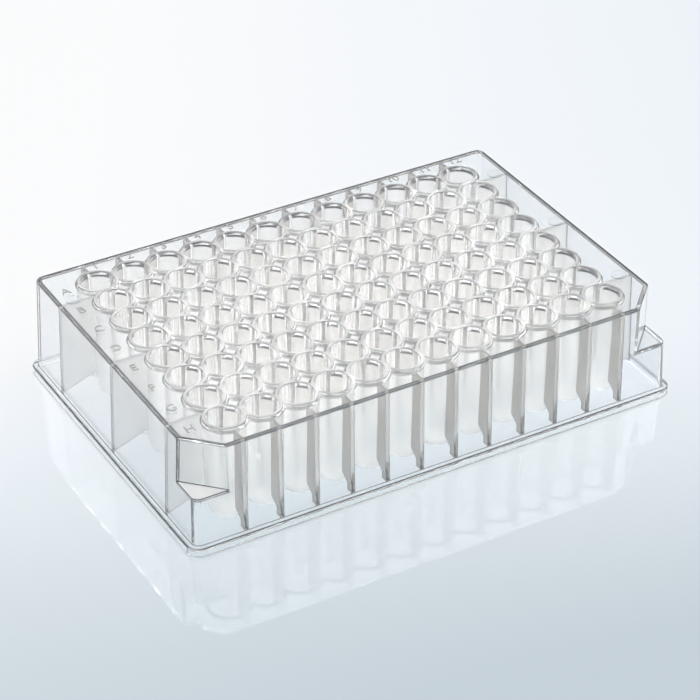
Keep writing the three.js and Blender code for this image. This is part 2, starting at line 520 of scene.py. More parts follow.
@dataclass
class Skirt(Part):
    """Flange, leaning skirt and deck, with the two cut corners of row H and their ledges."""

    deck_edge: float = 0.45
    flange_edge: float = 0.4
    foot_edge: float = 0.2
    small_edge: float = 0.22
    inner_edge: float = 0.18
    # Width of a thin line of painted shade on the deck top beside its rounding, and of the band beyond it,
    # which is painted dark too on the back and right edges.
    edge_line: float = 0.12
    far_line: float = 0.28
    slant: float = 0.1
    arc_steps: int = 6
    edge_steps: int = 4
    foot_steps: int = 2
    overrun: float = 1.0

    def section(self, z: float, inset: float, corner: float) -> np.ndarray:
        """Ring of the plate's outline.

        Args:
            z: Height of the ring.
            inset: Distance by which it is set in from the footprint.
            corner: Radius of its corners.

        Returns:
            Array of shape (point, 3).
        """
        half = np.array([self.sizes.length, self.sizes.width] * 2) / 2
        normals = np.array([0.0, 90.0, 180.0, 270.0])
        outline = rounded_outline(normals, half - inset, np.full(4, corner), self.arc_steps)
        return np.column_stack([outline, np.full(len(outline), z)])

    def arc(
        self,
        centre: float,
        inset: float,
        corner: float,
        radius: float,
        steps: int,
        start: float = 0.0,
        tighten: bool = True,
    ) -> list[np.ndarray]:
        """Rings over a round edge, for angles a over a quarter turn.

        The height is centre + radius sin a, and the inset grows by radius (1 - cos a).

        Args:
            centre: Height of the arc's centre.
            inset: Inset of the face that the arc leaves.
            corner: Radius of the outline's corners there.
            radius: Radius of the arc.
            steps: Number of steps over it.
            start: First angle in degrees.
            tighten: True if the outline's corners shrink as the inset grows.

        Returns:
            The rings, from the lowest.
        """
        cosine, sine = quarter(steps, start, start + 90.0)
        shrink = radius if tighten else 0.0
        return [
            self.section(centre + radius * s, inset + radius * (1 - c), corner - shrink * (1 - c))
            for c, s in zip(cosine, sine)
        ]

    def outer_form(self) -> Surface:
        """Profile of the flange and the skirt carried round the outline, closed by the deck.

        Returns:
            The form as a closed solid.
        """
        s = self.sizes
        foot = self.arc(self.foot_edge, 0.0, s.flange_corner, self.foot_edge, self.foot_steps, -90.0)
        rim_centre = s.flange_height - self.flange_edge
        rim = self.arc(rim_centre, 0.0, s.flange_corner, self.flange_edge, self.edge_steps)
        junction = self.section(s.flange_height, s.flange_step, s.skirt_corner)
        brow = s.deck_top - self.deck_edge
        inset = s.skirt_inset(brow)
        deck = self.arc(brow, inset, s.skirt_corner, self.deck_edge, self.edge_steps)
        margin = self.deck_edge + self.edge_line
        for reach in (margin, margin + self.far_line):
            deck.append(self.section(s.deck_top, inset + reach, s.skirt_corner - reach))
        clear, edge = [Region.CLEAR_WALL], [Region.ROUNDED_EDGE]
        # Dark bands of painted shade: the flange's foot, the upper half of its rounding, the lowest step of
        # the deck's rounding and a thin line on the deck top.
        bands = edge * 2 + clear * 3 + edge * 2 + clear * 2 + edge + clear * 3 + edge + clear
        form = Surface.from_rings(np.array([*foot, *rim, junction, *deck]), bands, Region.CLEAR_WALL)
        self.dress_outline(form, len(bands))
        return form

    def dress_outline(self, form: Surface, bands: int) -> None:
        """Paint shade: darker end walls, and dark lines at the back left corner and on two deck edges.

        Args:
            form: The outer form, which is changed.
            bands: Number of its bands. The wall is the one below the deck's round edge.
        """
        around = 4 * (self.arc_steps + 1)
        grid = form.regions[: bands * around].reshape(bands, 4, -1)
        brow = bands - self.edge_steps - 2
        straight = self.arc_steps
        # Painted shade: two dark upright lines at the back left corner of the skirt wall.
        grid[brow - 1, 1, [0, straight - 1]] = Region.ROUNDED_EDGE.value
        # Painted shade: the left and right end walls take a darker tint.
        grid[brow - 1, [1, 3], straight] = Region.HAZY_WALL.value
        # Painted shade: dark lines over the rounding and the top margin of the back and right deck edges.
        grid[brow:, [0, 3], straight] = Region.ROUNDED_EDGE.value

    def inner_form(self) -> Surface:
        """Hollow below the deck, one wall inside the outer form and open at the bottom.

        Returns:
            The hollow as a closed solid.
        """
        s = self.sizes
        lower = [
            self.section(z, s.skirt_wall, s.flange_corner - s.skirt_wall)
            for z in (-self.overrun, s.flange_underside)
        ]
        corner = s.skirt_corner - s.skirt_wall
        top = s.deck_underside - self.inner_edge
        upper = [
            self.section(z, s.skirt_inset(z) + s.skirt_wall, corner) for z in (s.flange_underside, top)
        ]
        inset = s.skirt_inset(top) + s.skirt_wall
        fillet = self.arc(top, inset, corner, self.inner_edge, self.edge_steps, tighten=False)
        # The fillet under the deck takes the dark finish of painted edge shade.
        bands = [Region.CLEAR_WALL] * 3 + [Region.ROUNDED_EDGE] * self.edge_steps
        return Surface.from_rings(np.array(lower + upper + fillet[1:]), bands, Region.CLEAR_WALL)

    def corner_block(self, side: int, set_back: float, low: float) -> Surface:
        """What lies beyond a 45 degree plane across a corner of row H.

        Args:
            side: 1 for column 12, -1 for column 1.
            set_back: Distance by which the plane moves in towards the wells.
            low: Height of the block's lower face.

        Returns:
            The block, which runs past the top of the plate.
        """
        s = self.sizes
        corner = np.array([s.length, s.width]) / 2 - s.skirt_inset(s.deck_top)
        reach = s.flange_step + s.skirt_lean + self.overrun
        leg = s.corner_cut + set_back * math.sqrt(2)
        triangle = np.array(
            [
                [side * (corner[0] - leg - reach), -corner[1] - reach],
                [side * (corner[0] + reach), -corner[1] - reach],
                [side * (corner[0] + reach), -corner[1] + leg + reach],
            ]
        )
        finish = Region.CLEAR_WALL if side > 0 else Region.FROSTED_RIB
        return prism(triangle[::side], low, s.height + self.overrun, finish)

    def dress_edges(self, shell: bpy.types.Object) -> None:
        """Tone the softened edges so that only the outer ones keep the dark painted shade.

        The edges inside the flange and the slanting upright ones above the ledges take the wall's finish,
        and the step above the flange takes a light shade. A face counts as inside where it lies further in
        from the footprint than half a wall.

        Args:
            shell: Solid that is changed.
        """
        s = self.sizes
        faces = shell.data.polygons
        finish = read(faces, "material_index", kind=np.int32)
        centre = read(faces, "center", 3) / MM
        across, along, up = np.abs(read(faces, "normal", 3).T)
        inset = np.minimum(s.length / 2 - abs(centre[:, 0]), s.width / 2 - abs(centre[:, 1]))
        inner_edge = (finish == Region.ROUNDED_EDGE.value) & (inset > s.skirt_wall / 2)
        low = centre[:, 2] < s.flange_height - self.small_edge
        step = ~low & (centre[:, 2] < s.flange_height + self.small_edge)
        high = centre[:, 2] > s.ledge_height + self.small_edge
        slanting = (along > across) & (across > self.slant) & (up < self.slant)
        finish[inner_edge & low] = Region.CLEAR_WALL.value
        finish[inner_edge & step] = Region.RIM_SHADE.value
        finish[(finish == Region.ROUNDED_EDGE.value) & high & slanting] = Region.CLEAR_WALL.value
        faces.foreach_set("material_index", finish)

    def build(self) -> bpy.types.Object:
        """Cut the hollow out of the outer form and soften the edges that are left sharp.

        Returns:
            The shell as a closed solid.
        """
        s = self.sizes
        shell = self.outer_form().as_object("moulded_plate")
        hollow = self.inner_form().as_object("hollow")
        for side in (-1, 1):
            outside = self.corner_block(side, 0.0, s.ledge_height)
            inside = self.corner_block(side, s.skirt_wall, s.ledge_height - s.deck_thickness)
            combine(shell, outside.as_object("corner"), Join.CUT)
            combine(hollow, inside.as_object("corner"), Join.CUT)
        combine(shell, hollow, Join.CUT)
        soften(shell, self.small_edge, 2)
        self.dress_edges(shell)
        return shell


@dataclass
class WellField(Part):
    """The grid of round-bottomed wells: their tubes with the collars above the deck, and their bores."""

    sides: int = 32
    round_steps: int = 7
    collar_edge: float = 0.12
    collar_foot: float = 0.3
    lip: float = 0.16
    lip_turn: float = 80.0
    mouth_band: float = 0.8
    mouth_taper: float = 0.01
    root: float = 0.4
    root_lap: float = 0.05
    overrun: float = 1.0

    def places(self) -> np.ndarray:
        """Centres of all wells on the ground, as an array of shape (row, column, 3)."""
        x, y = np.meshgrid(self.sizes.column_x, self.sizes.row_y)
        return np.stack([x, y, np.zeros_like(x)], axis=-1)

    def round_bottom(self, radius: float) -> np.ndarray:
        """Quarter circle from the axis out to the radius, about the centre of the round bottoms.

        Args:
            radius: Radius of the circle.

        Returns:
            Array of shape (point, 2), as radius and height.
        """
        cosine, sine = quarter(self.round_steps, -90, 0)
        cosine[0] = 0.0
        return np.column_stack([radius * cosine, self.sizes.round_centre + radius * sine])

    def tube_profile(self) -> np.ndarray:
        """Outer profile of a well: round bottom, drafted wall, and a collar with a softened edge.

        Returns:
            Array of shape (point, 2), as radius and height.
        """
        s = self.sizes
        collar = s.mouth_radius + s.collar_width
        neck = s.mouth_radius + s.tube_wall
        cosine, sine = quarter(2, 0, 90)
        edge_radius = collar - self.collar_edge * (1 - cosine)
        edge = np.column_stack([edge_radius, s.height - self.collar_edge * (1 - sine)])
        wall = [
            [neck, s.deck_underside - self.root],
            [neck + self.root, s.deck_underside + self.root_lap],
            [collar, s.deck_top - self.collar_foot],
        ]
        return np.vstack([self.round_bottom(s.tube_foot_radius), wall, edge])

    def bore_profile(self) -> np.ndarray:
        """Inner profile of a well: round bottom, drafted wall, and a lip that opens at the mouth.

        Returns:
            Array of shape (point, 2), as radius and height.
        """
        s = self.sizes
        cosine, sine = quarter(3, 0, self.lip_turn)
        lip_foot = s.height - self.lip
        lip = np.column_stack([s.mouth_radius + self.lip * (1 - cosine), lip_foot + self.lip * sine])
        mouth = [[s.mouth_radius - self.mouth_taper, lip_foot - self.mouth_band]]
        above = [[s.mouth_radius + self.lip, s.height + self.overrun]]
        return np.vstack([self.round_bottom(s.foot_radius), mouth, lip, above])

    def tubes(self, parity: int) -> bpy.types.Object:
        """Tubes of every second well, like the fields of one colour on a chequerboard.

        Args:
            parity: 0 or 1, for the one colour or the other.

        Returns:
            The tubes as closed solids, those of row H with feet lit by a painted glow.
        """
        places = self.places()
        row, column = np.indices(places.shape[:2])
        chosen = (row + column) % 2 == parity
        # Painted light and shade on the tubes: a lighter, glowing finish on the lower feet, a dark band at
        # the root under the deck, and the rim shade on the collar edge.
        bands = [Region.BRIGHT_FACE] * (self.round_steps - 3) + [Region.MILKY_WELL] * 4
        bands += [Region.ROUNDED_EDGE] + [Region.CLEAR_WALL] * 2 + [Region.RIM_SHADE] * 2
        tube = revolved(self.tube_profile(), bands, Region.MILKY_WELL, self.sides)
        field = tube.copies(places[chosen])
        # Only row H keeps the painted glow on its feet; the other rows take the milky finish there.
        shaded = np.repeat(row[chosen] < self.sizes.rows - 1, len(tube.sides))
        field.regions[shaded & (field.regions == Region.BRIGHT_FACE.value)] = Region.MILKY_WELL.value
        return field.as_object("tubes")

    def bores(self) -> bpy.types.Object:
        """All the bores, with shaded lips.

        Returns:
            The bores as closed solids that reach past the mouths.
        """
        bands = [Region.POLISHED_BORE] * (self.round_steps + 2)
        bands += [Region.RIM_SHADE] * 3 + [Region.CLEAR_WALL]
        bore = revolved(self.bore_profile(), bands, Region.CLEAR_WALL, self.sides)
        return bore.copies(self.places().reshape(-1, 3)).as_object("bores")


@dataclass
class Ribs(Part):
    """Upright webs between the skirt and the outer wells."""

    thickness: float = 0.9
    foot_height: float = 1.7
    strip: float = 2.0
    strip_top: float = 3.6
    root_rise: float = 0.5
    deck_lap: float = 0.3
    wall_lap: float = 0.2
    edge: float = 0.15
    root: float = 0.12
    short_rows: tuple[int, ...] = (1, 4, 7)

    @property
    def top(self) -> float:
        """Height at which the webs end, inside the deck."""
        return self.sizes.deck_underside + self.deck_lap

    def skirt_line(self, half: float, depth: float) -> list[tuple[float, float]]:
        """Foot and top of an upright line in the skirt of one side.

        Args:
            half: Half the footprint towards that side.
            depth: Distance of the line from the skirt's outer face.

        Returns:
            The two ends, as (distance from the middle of the plate, height).
        """
        return [(half - self.sizes.skirt_inset(z) - depth, z) for z in (self.foot_height, self.top)]

    def long_outline(self) -> list[tuple[float, float]]:
        """Deep between skirt and tube, tapered at the tube's foot to a strip that runs down the skirt.

        Returns:
            Corners as (distance from the middle of the plate, height).
        """
        s = self.sizes
        tube = s.row_y[0] + s.tube_foot_radius - s.tube_wall / 2
        strip = self.skirt_line(s.width / 2, s.skirt_wall)[0][0] - self.strip
        return self.skirt_line(s.width / 2, s.skirt_wall / 2) + [
            (tube, self.top),
            (tube, s.round_centre + self.root_rise),
            (strip, self.strip_top),
            (strip, self.foot_height),
        ]

    def short_outline(self) -> list[tuple[float, float]]:
        """Full depth from the skirt to the web between two rows, with a foot that climbs to the tubes.

        Returns:
            Corners as (distance from the middle of the plate, height).
        """
        s = self.sizes
        centre = s.column_x[-1]
        low = s.round_centre + self.root_rise
        return self.skirt_line(s.length / 2, s.skirt_wall / 2) + [
            (centre, self.top),
            (centre, low),
            (centre + s.mouth_radius / 2, low),
        ]

    def root_outline(self, half: float) -> list[tuple[float, float]]:
        """Upright strip along the skirt's inner face, for the fillets where a rib grows out of it.

        Args:
            half: Half the footprint towards the rib's side.

        Returns:
            Corners as (distance from the middle of the plate, height).
        """
        wall = self.sizes.skirt_wall
        outer = self.skirt_line(half, wall - self.wall_lap)
        return outer + self.skirt_line(half, wall + self.root)[::-1]

    def web(
        self, outline: list[tuple[float, float]], angle: float, shift: float, extra: float, finish: Region
    ) -> Surface:
        """Carry an upright outline across the rib's thickness.

        Args:
            outline: Corners as (distance from the middle of the plate, height).
            angle: Direction from the middle out to the rib's side, in degrees.
            shift: Place of the rib along its side.
            extra: Distance by which each side stands out from the rib's own.
            finish: Finish of all its faces.

        Returns:
            The web as a closed solid.
        """
        flat = np.array(outline)
        turn = math.radians(angle)
        out = np.array([math.cos(turn), math.sin(turn), 0.0])
        across = np.array([-math.sin(turn), math.cos(turn), 0.0])
        face = flat[:, :1] * out + flat[:, 1:] * np.array([0.0, 0.0, 1.0])
        offsets = shift + np.array([0.5, -0.5]) * (self.thickness + 2 * extra)
        rings = face[None, :, :] + offsets[:, None, None] * across
        return Surface.from_rings(rings, [finish], finish)

    def webs(
        self, outlines: list[list[tuple[float, float]]], finishes: list[Region], extra: float = 0.0
    ) -> Surface:
        """Set a web at each place: one per column on the long sides, three on the short ones.

        Args:
            outlines: Outline of a short side's web, and of a long side's.
            finishes: Their finishes.
            extra: Distance by which each side stands out from the rib's own.

        Returns:
            All the webs.
        """
        s = self.sizes
        between = [(s.rows / 2 - row) * s.pitch for row in self.short_rows]
        places = [(1, 90.0, -x) for x in s.column_x] + [(1, 270.0, x) for x in s.column_x]
        places += [(0, 0.0, y) for y in between] + [(0, 180.0, -y) for y in between]
        return Surface.merged(
            [self.web(outlines[side], angle, shift, extra, finishes[side]) for side, angle, shift in places]
        )

    def build(self) -> bpy.types.Object:
        """Place all the ribs, with their edges softened.

        Returns:
            The ribs as closed solids.
        """
        outlines = [self.short_outline(), self.long_outline()]
        # The long ribs at the front and back take a grey finish of painted shade.
        made = self.webs(outlines, [Region.FROSTED_RIB, Region.SMOKY_RIB]).as_object("ribs")
        soften(made, self.edge, 1)
        return made

    def roots(self) -> bpy.types.Object:
        """Place the fillets at the foot of each rib on the skirt.

        Returns:
            The fillets as closed solids.
        """
        outlines = [self.root_outline(half) for half in (self.sizes.length / 2, self.sizes.width / 2)]
        # The fillets are lines of painted shade: dark beside the short ribs, lighter beside the long ones.
        webs = self.webs(outlines, [Region.ROUNDED_EDGE, Region.RIM_SHADE], self.root)
        return webs.as_object("rib_roots")


@dataclass
class Moulding(Part):
    """The plate's body: skirt, ribs and wells in one closed solid."""

    def build(self) -> bpy.types.Object:
        """Join the ribs and the tubes to the skirt, and cut the bores.

        Returns:
            The body.
        """
        ribs = Ribs(self.sizes)
        wells = WellField(self.sizes)
        plate = Skirt(self.sizes).build()
        for tool in (ribs.build(), ribs.roots(), wells.tubes(0), wells.tubes(1)):
            combine(plate, tool, Join.UNION)
        combine(plate, wells.bores(), Join.CUT)
        return plate


# ---------------------------------------------------------------------------------------------------
# Deck marks
# ---------------------------------------------------------------------------------------------------


@dataclass
class DeckMarks(Part):
    """Raised row letters A to H, column numbers 1 to 12 and ejector pads on the deck."""

    row_letters: str = "ABCDEFGH"
    cap_height: float = 2.5
    cap_share: float = 0.72
    rise: float = 0.14
    sink: float = 0.02
    letters_x: float = -57.9
    numbers_y: float = 38.2
    one_digit_shift: float = 2.4
    two_digit_shift: float = 3.3
    boss_radius: float = 1.8
    boss_rise: float = 0.12
    boss_sides: int = 28
    boss_centres: tuple[tuple[float, float], ...] = (
        (-57.9, 27.4),
        (57.9, 27.8),
        (58.2, 1.1),
        (57.7, -26.2),
    )

    def glyphs(self, words: str, centre: tuple[float, float]) -> Surface:
        """Shape a short word as raised strokes.

        Args:
            words: Text to shape.
            centre: Middle of the text on the deck.

        Returns:
            The strokes as closed solids.
        """
        curve = bpy.data.curves.new("glyph", "FONT")
        curve.body = words
        curve.size = self.cap_height / self.cap_share
        curve.align_x = "CENTER"
        curve.align_y = "CENTER"
        curve.extrude = (self.rise + self.sink) / 2
        curve.resolution_u = 3
        text = bpy.data.objects.new("glyph", curve)
        bpy.context.scene.collection.objects.link(text)
        mesh = evaluated_mesh(text)
        points = read(mesh.vertices, "co", 3)
        middle = (points.min(axis=0) + points.max(axis=0)) / 2
        lift = self.sizes.deck_top - self.sink + (self.rise + self.sink) / 2
        # Painted shade: the strokes' upright sides take the dark edge finish and their tops the grey
        # finish.
        upright = np.abs(read(mesh.polygons, "normal", 3)[:, 2]) < 0.5
        regions = np.where(upright, Region.ROUNDED_EDGE.value, Region.SMOKY_RIB.value)
        corners = read(mesh.loops, "vertex_index", kind=np.int32)
        sides = read(mesh.polygons, "loop_total", kind=np.int32)
        bpy.data.objects.remove(text)
        bpy.data.curves.remove(curve)
        bpy.data.meshes.remove(mesh)
        return Surface(points - middle + np.array([*centre, lift]), corners, sides, regions)

    def boss(self, centre: tuple[float, float]) -> Surface:
        """Low round pad that an ejector pin has left: a disc with an upright edge.

        Args:
            centre: Middle of the pad on the deck.

        Returns:
            The pad as a closed solid.
        """
        low = self.sizes.deck_top - self.sink
        high = self.sizes.deck_top + self.boss_rise
        profile = np.array([[0.0, low], [self.boss_radius, low], [self.boss_radius, high]])
        # Painted shade: the pad's upright edge takes the dark edge finish.
        bands = [Region.CLEAR_WALL, Region.ROUNDED_EDGE]
        pad = revolved(profile, bands, Region.CLEAR_WALL, self.boss_sides)
        return pad.copies(np.array([[*centre, 0.0]]))

    def build(self) -> bpy.types.Object:
        """Set a letter beside each row, a number behind each column, and the pads.

        Returns:
            All the marks as one piece.
        """
        s = self.sizes
        marks = [self.glyphs(letter, (self.letters_x, y)) for letter, y in zip(self.row_letters, s.row_y)]
        for number, x in enumerate(s.column_x, start=1):
            aside = self.one_digit_shift if number < 10 else self.two_digit_shift
            marks.append(self.glyphs(str(number), (x + aside, self.numbers_y)))
        marks += [self.boss(centre) for centre in self.boss_centres]
        made = Surface.merged(marks).as_object("deck_marks")
        merge = made.modifiers.new("merge", "WELD")
        merge.merge_threshold = 0.002 * MM
        settle(made)
        return made


# ---------------------------------------------------------------------------------------------------
# Finishes
# ---------------------------------------------------------------------------------------------------


@dataclass
class Sketch:
    """A node tree under construction."""

    tree: bpy.types.NodeTree

    def node(self, kind: str, **values: Any) -> bpy.types.Node:
        """Add a node and set it up.

        Args:
            kind: Node type without the ShaderNode in front.
            values: Properties of the node, or default values of its inputs by name with _ for a space.

        Returns:
            The node.
        """
        made = self.tree.nodes.new("ShaderNode" + kind)
        for name, value in values.items():
            socket = made.inputs.get(name.replace("_", " "))
            if socket is None:
                setattr(made, name, value)
            else:
                self.feed(socket, value)
        return made

    def feed(self, socket: bpy.types.NodeSocket, value: Any) -> None:
        """Give an input its value, or join another node's output to it.

        Args:
            socket: Input.
            value: Its value, or an output.
        """
        if isinstance(value, bpy.types.NodeSocket):
            self.link(value, socket)
        else:
            socket.default_value = value

    def math(self, operation: str, *terms: Any, **settings: Any) -> bpy.types.NodeSocket:
        """Work a number out.

        Args:
            operation: Name of the operation.
            terms: Its terms, as numbers or as outputs of other nodes.
            settings: Properties of the node.

        Returns:
            The result.
        """
        made = self.node("Math", operation=operation, **settings)
        for socket, term in zip(made.inputs, terms):
            self.feed(socket, term)
        return made.outputs["Value"]

    def dot(self, way: bpy.types.NodeSocket, direction: tuple[float, float, float]) -> bpy.types.NodeSocket:
        """Work out how far a place or a direction reaches along a fixed one.

        Args:
            way: Output that holds the place or the direction.
            direction: The fixed direction.

        Returns:
            Their dot product.
        """
        made = self.node("VectorMath", operation="DOT_PRODUCT")
        made.inputs[1].default_value = direction
        self.link(way, made.inputs[0])
        return made.outputs["Value"]

    def mix(self, share: Any, first: bpy.types.Node, second: bpy.types.Node) -> bpy.types.Node:
        """Blend two shaders.

        Args:
            share: Share of the second one, as a number or an output.
            first: Node of the one.
            second: Node of the other.

        Returns:
            The node of the blend.
        """
        made = self.node("MixShader")
        self.feed(made.inputs[0], share)
        self.link(first.outputs[0], made.inputs[1])
        self.link(second.outputs[0], made.inputs[2])
        return made

    def link(self, source: bpy.types.NodeSocket, target: bpy.types.NodeSocket) -> None:
        """Join an output to an input."""
        self.tree.links.new(source, target)


def empty_material(name: str) -> tuple[bpy.types.Material, Sketch, bpy.types.Node]:
    """Make a material that holds only its output.

    Args:
        name: Name of the material.

    Returns:
        The material, its node sketch and its output node.
    """
    material = bpy.data.materials.new(name)
    material.use_nodes = True
    material.node_tree.nodes.clear()
    sketch = Sketch(material.node_tree)
    return material, sketch, sketch.node("OutputMaterial")


def carried_light(sketch: Sketch, through: float, guided: float, glow: float) -> bpy.types.NodeSocket:
    """Pale light where a light path reaches its last surface, and a painted glow, where given, at every
    surface.

    A path through dozens of thin walls is cut off after a fixed number of turns, which would leave the
    wells black. The last surface gives the brightness that the path would have gathered further on: much
    where it went straight through the walls, little where a wall has led it along between its faces.

    Args:
        sketch: Node tree of the material.
        through: Brightness at the end of a path through walls.
        guided: Brightness at the end of a path led along inside a wall.
        glow: Painted glow at any surface, in place of light that the wall behind it would lead there.

    Returns:
        The colour of that light.
    """
    path = sketch.node("LightPath").outputs
    cut_off = sketch.math("GREATER_THAN", path["Ray Depth"], LAST_TURN - 0.5)
    led = sketch.math("GREATER_THAN", path["Glossy Depth"], LAST_GLOSSY_TURN - 0.5)
    ends = [sketch.math("MULTIPLY", cut_off, through), sketch.math("MULTIPLY", led, guided)]
    return sketch.math("MAXIMUM", sketch.math("MAXIMUM", *ends), glow)


def mould_grain() -> bpy.types.NodeTree:
    """Build the grain that all the finishes of the moulding share, once.

    Its outputs follow fine noise n and cloudy noise c, both from 0 to 1: the roughness is its input
    times (1 - spread + 2 spread n), the tone is white less mottle times c, and the relief is n.

    Returns:
        The node group, with inputs Place, Roughness, Spread and Mottle.
    """
    group = bpy.data.node_groups.get("mould_grain")
    if group is not None:
        return group
    group = bpy.data.node_groups.new("mould_grain", "ShaderNodeTree")
    group.interface.new_socket("Place", in_out="INPUT", socket_type="NodeSocketVector")
    for name, value in (("Roughness", 0.1), ("Spread", 0.4), ("Mottle", 0.03)):
        socket = group.interface.new_socket(name, in_out="INPUT", socket_type="NodeSocketFloat")
        socket.default_value = value
    group.interface.new_socket("Roughness", in_out="OUTPUT", socket_type="NodeSocketFloat")
    group.interface.new_socket("Tone", in_out="OUTPUT", socket_type="NodeSocketColor")
    group.interface.new_socket("Relief", in_out="OUTPUT", socket_type="NodeSocketFloat")
    sketch = Sketch(group)
    given = group.nodes.new("NodeGroupInput")
    made = group.nodes.new("NodeGroupOutput")
    place = given.outputs["Place"]
    fine = sketch.node("TexNoise", Scale=900.0, Detail=3.0, Roughness=0.6, Vector=place).outputs["Fac"]
    cloudy = sketch.node("TexNoise", Scale=160.0, Detail=2.0, Vector=place).outputs["Fac"]
    swing = sketch.node("MapRange", Value=fine, To_Min=-1.0).outputs["Result"]
    change = sketch.math("MULTIPLY_ADD", swing, given.outputs["Spread"], 1.0)
    sketch.feed(made.inputs["Roughness"], sketch.math("MULTIPLY", change, given.outputs["Roughness"]))
    dip = sketch.math("MULTIPLY", cloudy, given.outputs["Mottle"])
    sketch.feed(made.inputs["Tone"], sketch.math("SUBTRACT", 1.0, dip))
    sketch.feed(made.inputs["Relief"], fine)
    return group


@dataclass(frozen=True)
class Plastic:
    """Clear polypropylene: how far it tints, scatters and frosts what is seen through it."""

    name: str
    colour: tuple[float, float, float]
    clarity: float
    roughness: float
    through: float
    guided: float
    # Painted glow that every surface of the finish gives off.
    glow: float = 0.0
    spread: float = 0.4
    mottle: float = 0.03
    relief: float = 0.0
    ior: float = 1.49
    scatter_depth: float = 1.5
    shade: tuple[float, float, float] = (0.98, 0.98, 0.98)

    def texture(self, sketch: Sketch, shader: bpy.types.Node) -> None:
        """Place the shared grain and lead it to a shader's colour, roughness and relief.

        Args:
            sketch: Node tree of the material.
            shader: Principled shader that takes the grain.
        """
        place = sketch.node("TexCoord")
        grain = sketch.node("Group", node_tree=mould_grain())
        grain.inputs["Roughness"].default_value = self.roughness
        grain.inputs["Spread"].default_value = self.spread
        grain.inputs["Mottle"].default_value = self.mottle
        tint = sketch.node("Mix", data_type="RGBA", blend_type="MULTIPLY")
        tint.inputs["Factor"].default_value = 1.0
        tint.inputs[6].default_value = (*self.colour, 1.0)
        sketch.link(place.outputs["Object"], grain.inputs["Place"])
        sketch.link(grain.outputs["Tone"], tint.inputs[7])
        sketch.link(tint.outputs[2], shader.inputs["Base Color"])
        sketch.link(grain.outputs["Roughness"], shader.inputs["Roughness"])
        if self.relief > 0.0:
            bump = sketch.node("Bump", Distance=self.relief * MM)
            sketch.link(grain.outputs["Relief"], bump.inputs["Height"])
            sketch.link(bump.outputs["Normal"], shader.inputs["Normal"])

    def material(self) -> bpy.types.Material:
        """Build the material.

        Returns:
            A Principled shader with the shared grain, which lets shadow rays pass almost unweakened.
        """
        material, sketch, output = empty_material(self.name)
        shader = sketch.node("BsdfPrincipled", IOR=self.ior)
        shader.inputs["Transmission Weight"].default_value = self.clarity
        shader.inputs["Subsurface Weight"].default_value = 1.0
        shader.inputs["Subsurface Radius"].default_value = (1.0, 1.0, 1.0)
        shader.inputs["Subsurface Scale"].default_value = self.scatter_depth * MM
        self.texture(sketch, shader)
        # The carried light and any painted glow go out as emission.
        carried = carried_light(sketch, self.through, self.guided, self.glow)
        sketch.link(carried, shader.inputs["Emission Color"])
        shader.inputs["Emission Strength"].default_value = 1.0
        passing = sketch.node("BsdfTransparent", Color=(*self.shade, 1.0))
        shadow = sketch.node("LightPath").outputs["Is Shadow Ray"]
        mix = sketch.mix(shadow, shader, passing)
        sketch.link(mix.outputs["Shader"], output.inputs["Surface"])
        material.cycles.emission_sampling = "NONE"
        return material


FINISHES = {
    Region.CLEAR_WALL: Plastic("clear_wall", (0.93, 0.945, 0.955), 0.97, 0.02, 0.7, 0.2, mottle=0.02),
    Region.MILKY_WELL: Plastic("milky_well", (1.0, 0.992, 0.972), 0.74, 0.1, 1.0, 1.0, relief=0.003),
    Region.FROSTED_RIB: Plastic("frosted_rib", (0.93, 0.93, 0.92), 0.5, 0.12, 0.85, 0.4, relief=0.006),
    # Dark finish of painted edge shade on roundings, roots, fillets, letter sides and pad edges.
    Region.ROUNDED_EDGE: Plastic("rounded_edge", (0.07, 0.08, 0.09), 0.25, 0.05, 0.05, 0.0),
    Region.POLISHED_BORE: Plastic("polished_bore", (1.0, 1.0, 1.0), 0.95, 0.03, 1.0, 1.0, mottle=0.01),
    # Lighter finish with a painted glow, on the feet of row H.
    Region.BRIGHT_FACE: Plastic("bright_face", (1.0, 1.0, 0.98), 0.25, 0.1, 1.0, 1.0, glow=0.14),
    Region.RIM_SHADE: Plastic("rim_shade", (0.32, 0.33, 0.34), 0.5, 0.05, 0.4, 0.3),
    # Grey finish of painted shade, on the long ribs and the letter tops.
    Region.SMOKY_RIB: Plastic("smoky_rib", (0.61, 0.59, 0.56), 0.5, 0.12, 0.6, 0.3, relief=0.006),
    # Darker tint of painted shade, on the two end walls.
    Region.HAZY_WALL: Plastic("hazy_wall", (0.85, 0.865, 0.88), 0.94, 0.012, 0.7, 0.2, mottle=0.06),
}


# ---------------------------------------------------------------------------------------------------
# Studio
# ---------------------------------------------------------------------------------------------------


